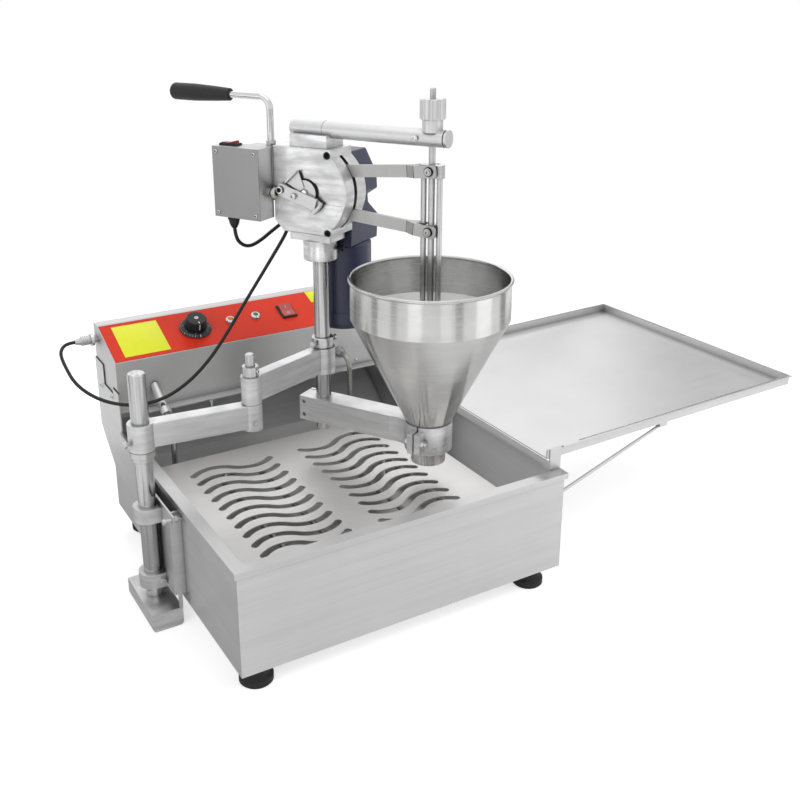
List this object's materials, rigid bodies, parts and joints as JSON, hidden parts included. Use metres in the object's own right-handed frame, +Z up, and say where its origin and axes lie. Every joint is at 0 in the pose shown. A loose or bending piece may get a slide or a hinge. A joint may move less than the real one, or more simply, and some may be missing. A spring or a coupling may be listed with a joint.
{
  "type": "automatic donut machine",
  "caption": "Countertop ring fryer: heated oil tank with slotted plate, control box, drying tray, and a motor-driven hopper depositor on a jointed swinging arm.",
  "frame": {"origin": "on the floor, at the middle of the machine's box in plan", "axes": "+X right along the tank towards the tray, +Y to the rear where the control box is, +Z up"},
  "size_m": [1.078, 0.588, 0.732],
  "materials": {
    "tank_steel": "brushed stainless sheet, oily",
    "plate_steel": "stainless sheet under a film of oil",
    "tray_steel": "brushed stainless sheet",
    "box_steel": "brushed stainless sheet",
    "foot_rubber": "moulded black rubber",
    "panel_red": "bright red printed panel",
    "knob_black": "black moulded",
    "ring_chrome": "plated rings",
    "lens_orange": "translucent orange",
    "lens_green": "translucent green",
    "rocker_red": "translucent red",
    "rocker_drive": "red moulded",
    "element_metal": "heat-stained steel tube",
    "gland_metal": "turned steel",
    "socket_black": "black moulded",
    "post_base_metal": "machined",
    "bracket_steel": "folded stainless sheet",
    "bar_steel": "ground steel bar",
    "collar_steel": "turned steel",
    "arm_metal": "machined",
    "hopper_steel": "spun, polished",
    "piston_metal": "turned steel",
    "head_metal": "machined plate",
    "screw_dark": "blackened screws",
    "beam_metal": "ground bar",
    "lever_metal": "machined",
    "shaft_metal": "turned steel",
    "knob_dosing": "turned and fluted",
    "switch_box_steel": "brushed stainless sheet",
    "sensor_metal": "threaded steel",
    "handle_metal": "plated rod",
    "grip_black": "black moulded grip",
    "gear_paint": "cast, painted dark blue-grey",
    "motor_paint": "painted dark blue-grey",
    "cord_black": "round black cord"
  },
  "bodies": {
    "machine": {"oil_tank": "tank_steel", "slotted_plate": "plate_steel", "rubber_foot_1": "foot_rubber", "rubber_foot_2": "foot_rubber", "rubber_foot_3": "foot_rubber", "rubber_foot_4": "foot_rubber", "control_box": "box_steel", "control_box_base": "box_steel", "control_panel": "panel_red", "lamp_rings": "ring_chrome", "lamp_lens_orange": "lens_orange", "lamp_lens_green": "lens_green", "power_switch_bezel": "knob_black", "cable_socket": "socket_black", "cable_plug": "socket_black", "element_glands": "gland_metal", "heating_element": "element_metal", "post_base": "post_base_metal", "post_bracket": "bracket_steel", "post_lugs": "post_base_metal", "post": "bar_steel", "post_collar": "collar_steel", "cable_long_1": "cord_black"},
    "thermostat": {"thermostat_knob": "knob_black"},
    "power_rocker": {"power_rocker": "rocker_red"},
    "arm_1": {"arm_1": "arm_metal", "elbow_pin": "bar_steel", "cable_long_2": "cord_black"},
    "arm_2": {"arm_2": "arm_metal", "cable_long_3": "cord_black"},
    "head": {"column": "bar_steel", "column_collar": "collar_steel", "hopper_bracket": "arm_metal", "hopper_clamp_jaw": "arm_metal", "hopper": "hopper_steel", "head_front_plate": "head_metal", "head_rear_plate": "head_metal", "head_base": "head_metal", "head_screws": "screw_dark", "beam_saddle": "head_metal", "beam": "beam_metal", "switch_box": "switch_box_steel", "switch_box_cover": "switch_box_steel", "drive_switch_bezel": "knob_black", "cable_glands": "socket_black", "trip_sensor": "sensor_metal", "handle_rod": "handle_metal", "handle_grip": "grip_black", "gearbox": "gear_paint", "motor": "motor_paint", "motor_cap": "motor_paint", "cable_short": "cord_black"},
    "cam_shaft": {"cam_shaft": "shaft_metal"},
    "upper_lever": {"upper_lever": "lever_metal"},
    "lower_lever": {"lower_lever": "lever_metal"},
    "piston": {"piston": "piston_metal"},
    "plunger": {"plunger": "piston_metal"},
    "dosing_knob": {"dosing_knob": "knob_dosing"},
    "drive_rocker": {"drive_rocker": "rocker_drive"},
    "tray": {"tray": "tray_steel"}
  },
  "joints": [
    {"name": "thermostat_turn", "type": "hinge", "parent": "machine", "child": "thermostat", "pos_m": [-0.3264, 0.22563, 0.31966], "axis": [0, -0.3679, 0.9299], "range_deg": [-270, 0]},
    {"name": "power_rocker_tip", "type": "hinge", "parent": "machine", "child": "power_rocker", "pos_m": [-0.1594, 0.22676, 0.32225], "axis": [1, 0, 0], "range_deg": [-14, 0]},
    {"name": "arm_1_swing", "type": "hinge", "parent": "machine", "child": "arm_1", "pos_m": [-0.5069, -0.039, 0.276], "axis": [0, 0, 1], "range_deg": [-60, 8], "deforming": ["cable_long_1"]},
    {"name": "arm_2_swing", "type": "hinge", "parent": "arm_1", "child": "arm_2", "pos_m": [-0.34841, -0.05398, 0.317], "axis": [0, 0, 1], "range_deg": [-60, 10], "deforming": ["cable_long_2"]},
    {"name": "head_swivel", "type": "hinge", "parent": "arm_2", "child": "head", "pos_m": [-0.20475, 0.00261, 0.317], "axis": [0, 0, 1], "range_deg": [-40, 25], "deforming": ["cable_long_3"]},
    {"name": "cam_turn", "type": "hinge", "parent": "head", "child": "cam_shaft", "pos_m": [-0.20675, 0.00607, 0.579], "axis": [0.866, 0.5, 0], "continuous": true},
    {"name": "piston_lift", "type": "slide", "parent": "head", "child": "piston", "axis": [0, 0, 1], "range_m": [0, 0.018]},
    {"name": "plunger_lift", "type": "slide", "parent": "head", "child": "plunger", "axis": [0, 0, 1], "range_m": [0, 0.018]},
    {"name": "upper_lever_turn", "type": "hinge", "parent": "head", "child": "upper_lever", "pos_m": [-0.22275, 0.03378, 0.6026], "axis": [-0.866, -0.5, 0], "range_deg": [0, 4.8]},
    {"name": "lower_lever_turn", "type": "hinge", "parent": "head", "child": "lower_lever", "pos_m": [-0.22275, 0.03378, 0.5541], "axis": [-0.866, -0.5, 0], "range_deg": [0, 4.8]},
    {"name": "dosing_turn", "type": "hinge", "parent": "plunger", "child": "dosing_knob", "pos_m": [-0.11375, -0.15501, 0.7045], "axis": [0, 0, 1], "range_deg": [-360, 360]},
    {"name": "drive_rocker_tip", "type": "hinge", "parent": "head", "child": "drive_rocker", "pos_m": [-0.30349, 0.08763, 0.641], "axis": [-0.866, -0.5, 0], "range_deg": [-14, 0]},
    {"name": "tray_lift", "type": "slide", "parent": "machine", "child": "tray", "axis": [0, 0, 1], "range_m": [0, 0.034]}
  ],
  "couplings": [
    {"joint": "upper_lever_turn", "follows": "piston_lift", "rad_per_m": 4.552},
    {"joint": "lower_lever_turn", "follows": "plunger_lift", "rad_per_m": 4.565}
  ]
}
